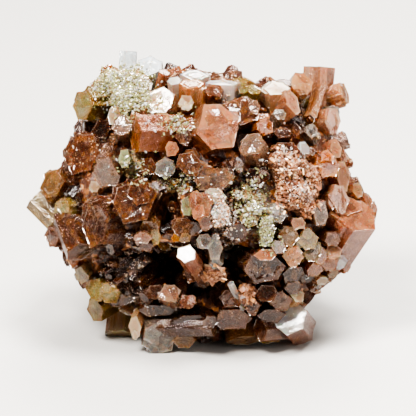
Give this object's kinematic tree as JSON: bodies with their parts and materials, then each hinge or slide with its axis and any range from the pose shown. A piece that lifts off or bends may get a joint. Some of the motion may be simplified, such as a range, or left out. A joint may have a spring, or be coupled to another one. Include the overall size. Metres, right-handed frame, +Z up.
{
  "type": "aragonite cluster",
  "caption": "Natural cluster of stubby six-sided reddish-brown prisms grown together around a lumpy mass, with a hollow in its lower front.",
  "frame": {"origin": "The middle of the bounding box in X and Y, at the height of the flat that the cluster rests on.", "axes": "+X is to the right when the hollow faces the viewer and is the longest way across. +Y points to the back. +Z is up."},
  "size_m": [0.0912, 0.074, 0.0713],
  "materials": {
    "aragonite": "glassy reddish-brown crystal, partly see-through, with pale druse"
  },
  "bodies": {
    "root": {"aragonite_cluster": "aragonite"}
  },
  "joints": []
}
